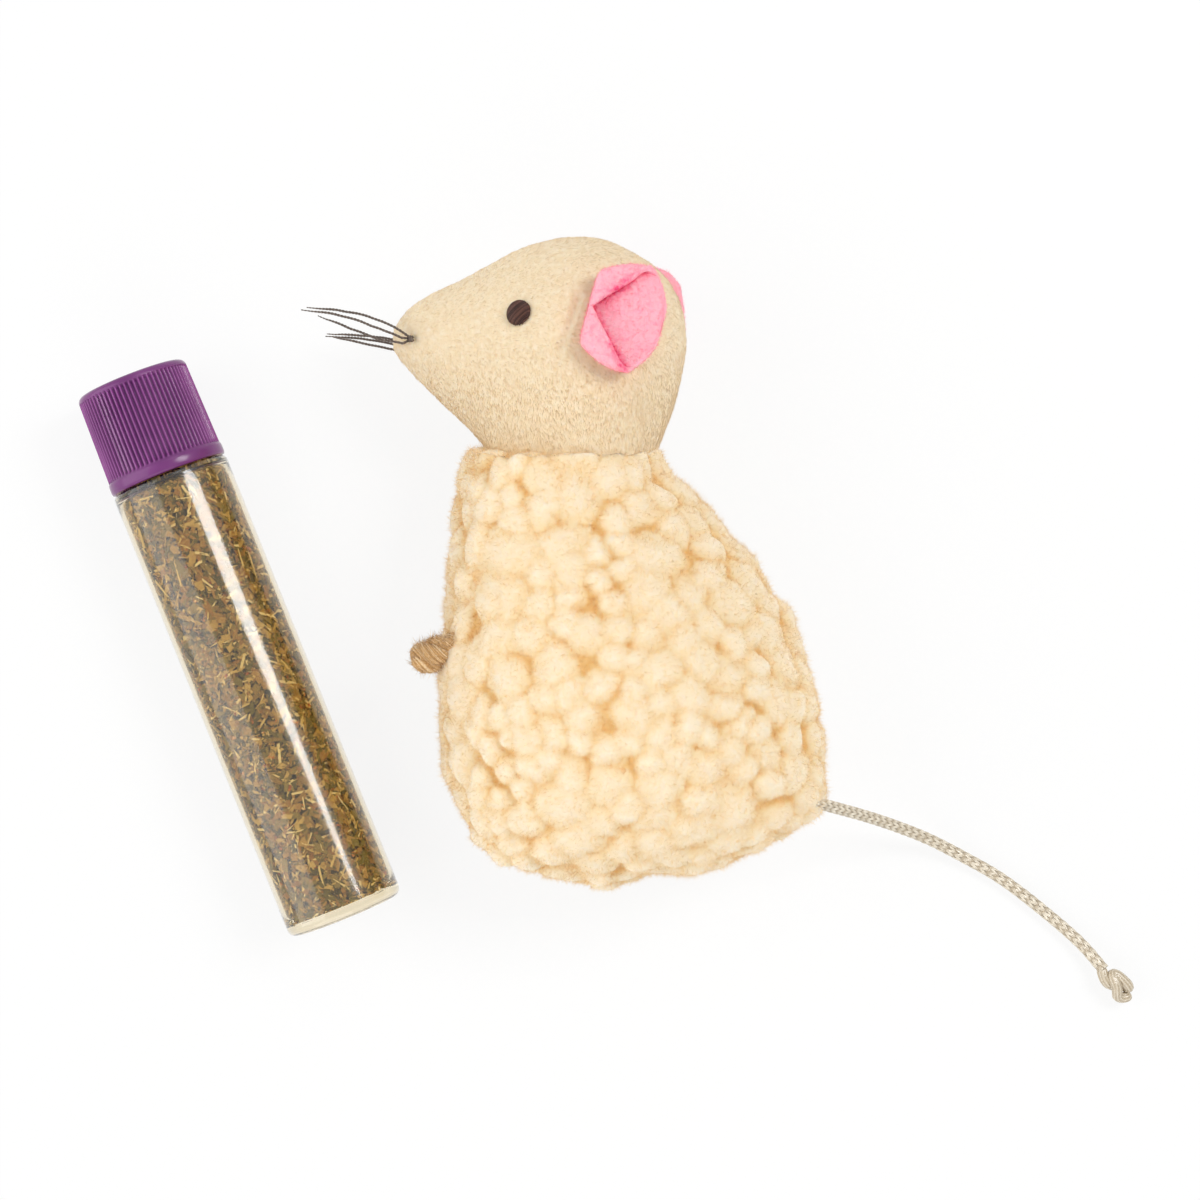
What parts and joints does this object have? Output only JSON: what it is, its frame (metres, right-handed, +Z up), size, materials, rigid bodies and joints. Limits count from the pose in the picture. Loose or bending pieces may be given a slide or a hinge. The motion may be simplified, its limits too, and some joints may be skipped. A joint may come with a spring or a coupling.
{
  "type": "catnip mouse",
  "caption": "Stuffed toy mouse with a fleecy body, plush head, felt ears, thread whiskers, rope paws and a cord tail, lying beside a clear screw-cap tube of dried catnip.",
  "frame": {"origin": "middle of the flat on the mouse's far flank, where it lies on the table", "axes": "+Z up from the table, +Y from the mouse's base to its head, -X the way its nose points"},
  "size_m": [0.1773, 0.1281, 0.0422],
  "materials": {
    "sherpa": "curly fleece pile",
    "plush": "short plush pile",
    "stuffing": "loose polyester fibre",
    "pouch_cloth": "plain woven muslin",
    "loop_tape": "loop pile",
    "hook_tape": "small hooks",
    "jute": "twisted rope",
    "felt": "pressed felt",
    "eye_thread": "satin stitch",
    "whisker_thread": "waxed thread",
    "satin_cord": "satin braid",
    "clear_plastic": "clear",
    "dried_leaf": "dried leaf flakes",
    "liner_foam": "foam",
    "cap_plastic": "satin moulded, ribbed"
  },
  "bodies": {
    "mouse": {"body_near_panel": "sherpa", "body_far_panel": "sherpa", "body_stuffing": "stuffing", "catnip_pouch": "pouch_cloth", "loop_tape": "loop_tape", "hook_tape": "hook_tape", "near_paw": "jute", "far_paw": "jute", "head_near_panel": "plush", "head_far_panel": "plush", "head_stuffing": "stuffing", "near_eye": "eye_thread", "far_eye": "eye_thread", "near_whisker_stitch": "whisker_thread", "near_whisker_1": "whisker_thread", "near_whisker_2": "whisker_thread", "near_whisker_3": "whisker_thread", "far_whisker_stitch": "whisker_thread", "far_whisker_1": "whisker_thread", "far_whisker_2": "whisker_thread", "far_whisker_3": "whisker_thread"},
    "near_ear_felt": {"near_ear": "felt"},
    "far_ear_felt": {"far_ear": "felt"},
    "tail": {"tail_cord": "satin_cord", "tail_knot": "satin_cord"},
    "refill_tube": {"tube": "clear_plastic", "catnip": "dried_leaf"},
    "liner": {"cap_liner": "liner_foam"},
    "cap": {"screw_cap": "cap_plastic"}
  },
  "joints": [
    {"name": "near_ear_bend", "type": "hinge", "parent": "mouse", "child": "near_ear_felt", "pos_m": [-0.00687, 0.06124, 0.0358], "axis": [-0.2498, -0.9454, 0.2092], "range_deg": [0, 35], "stiffness_Nm_per_rad": 0.0005},
    {"name": "far_ear_bend", "type": "hinge", "parent": "mouse", "child": "far_ear_felt", "pos_m": [-0.00265, 0.06124, 0.00576], "axis": [-0.4699, 0.8645, 0.1783], "range_deg": [0, 35], "stiffness_Nm_per_rad": 0.0005},
    {"name": "tail_swing", "type": "hinge", "parent": "mouse", "child": "tail", "pos_m": [0.03285, -0.0188, 0.021], "axis": [0, 0, 1], "range_deg": [-30, 30]},
    {"name": "tube_lift", "type": "slide", "parent": "mouse", "child": "refill_tube", "axis": [0, 0, 1], "range_m": [0, 0.08]},
    {"name": "cap_lift", "type": "slide", "parent": "refill_tube", "child": "liner", "axis": [-0.373, 0.9278, 0], "range_m": [0, 0.006]},
    {"name": "cap_turn", "type": "hinge", "parent": "liner", "child": "cap", "pos_m": [-0.0473, -0.0376, 0.01], "axis": [-0.373, 0.9278, 0], "range_deg": [0, 735]}
  ],
  "couplings": [
    {"joint": "cap_turn", "follows": "cap_lift", "rad_per_m": 2094.4}
  ]
}
